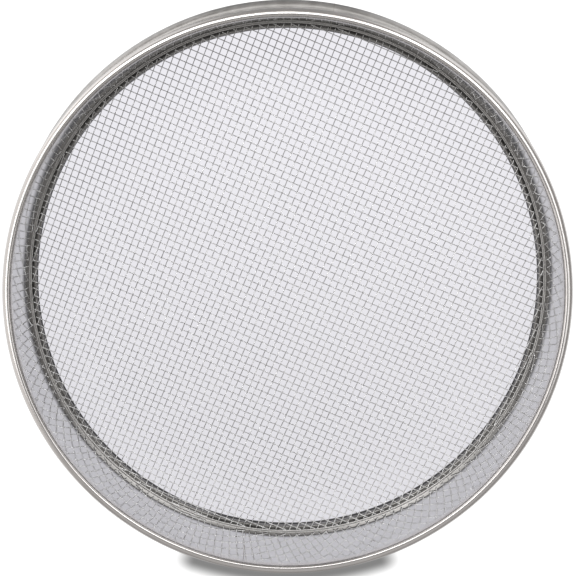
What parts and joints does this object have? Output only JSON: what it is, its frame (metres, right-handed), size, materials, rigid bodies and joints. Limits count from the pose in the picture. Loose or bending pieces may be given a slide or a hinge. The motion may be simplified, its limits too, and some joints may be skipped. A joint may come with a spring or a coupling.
{
  "type": "soil sieve",
  "caption": "Round stainless soil sieve: an open drum with a rolled rim, a hollow base ring and a loose woven wire disc.",
  "frame": {"origin": "centre of the base plane that the drum stands on", "axes": "+Z along the drum's axis, from the base towards the open rim"},
  "size_m": [0.3144, 0.3144, 0.072],
  "materials": {
    "drum_steel": "bright rolled stainless sheet, fine brushing round the drum, near mirror inside",
    "ring_steel": "rolled stainless sheet, polished, with light forming marks across the ring",
    "wire_steel": "bright drawn stainless wire",
    "core_steel": "plain drawn wire, not visible",
    "weld_steel": "ground weld, slightly dull"
  },
  "bodies": {
    "drum": {"drum_wall": "drum_steel", "wall_seam_weld": "weld_steel", "rim_core_wire": "core_steel", "base_ring": "ring_steel", "ring_seam_weld": "weld_steel", "tack_welds": "weld_steel"},
    "wire_disc": {"warp_wires": "wire_steel", "weft_wires": "wire_steel"}
  },
  "joints": [
    {"name": "disc_lift", "type": "slide", "parent": "drum", "child": "wire_disc", "axis": [0, 0, 1], "range_m": [0, 0.09]}
  ]
}
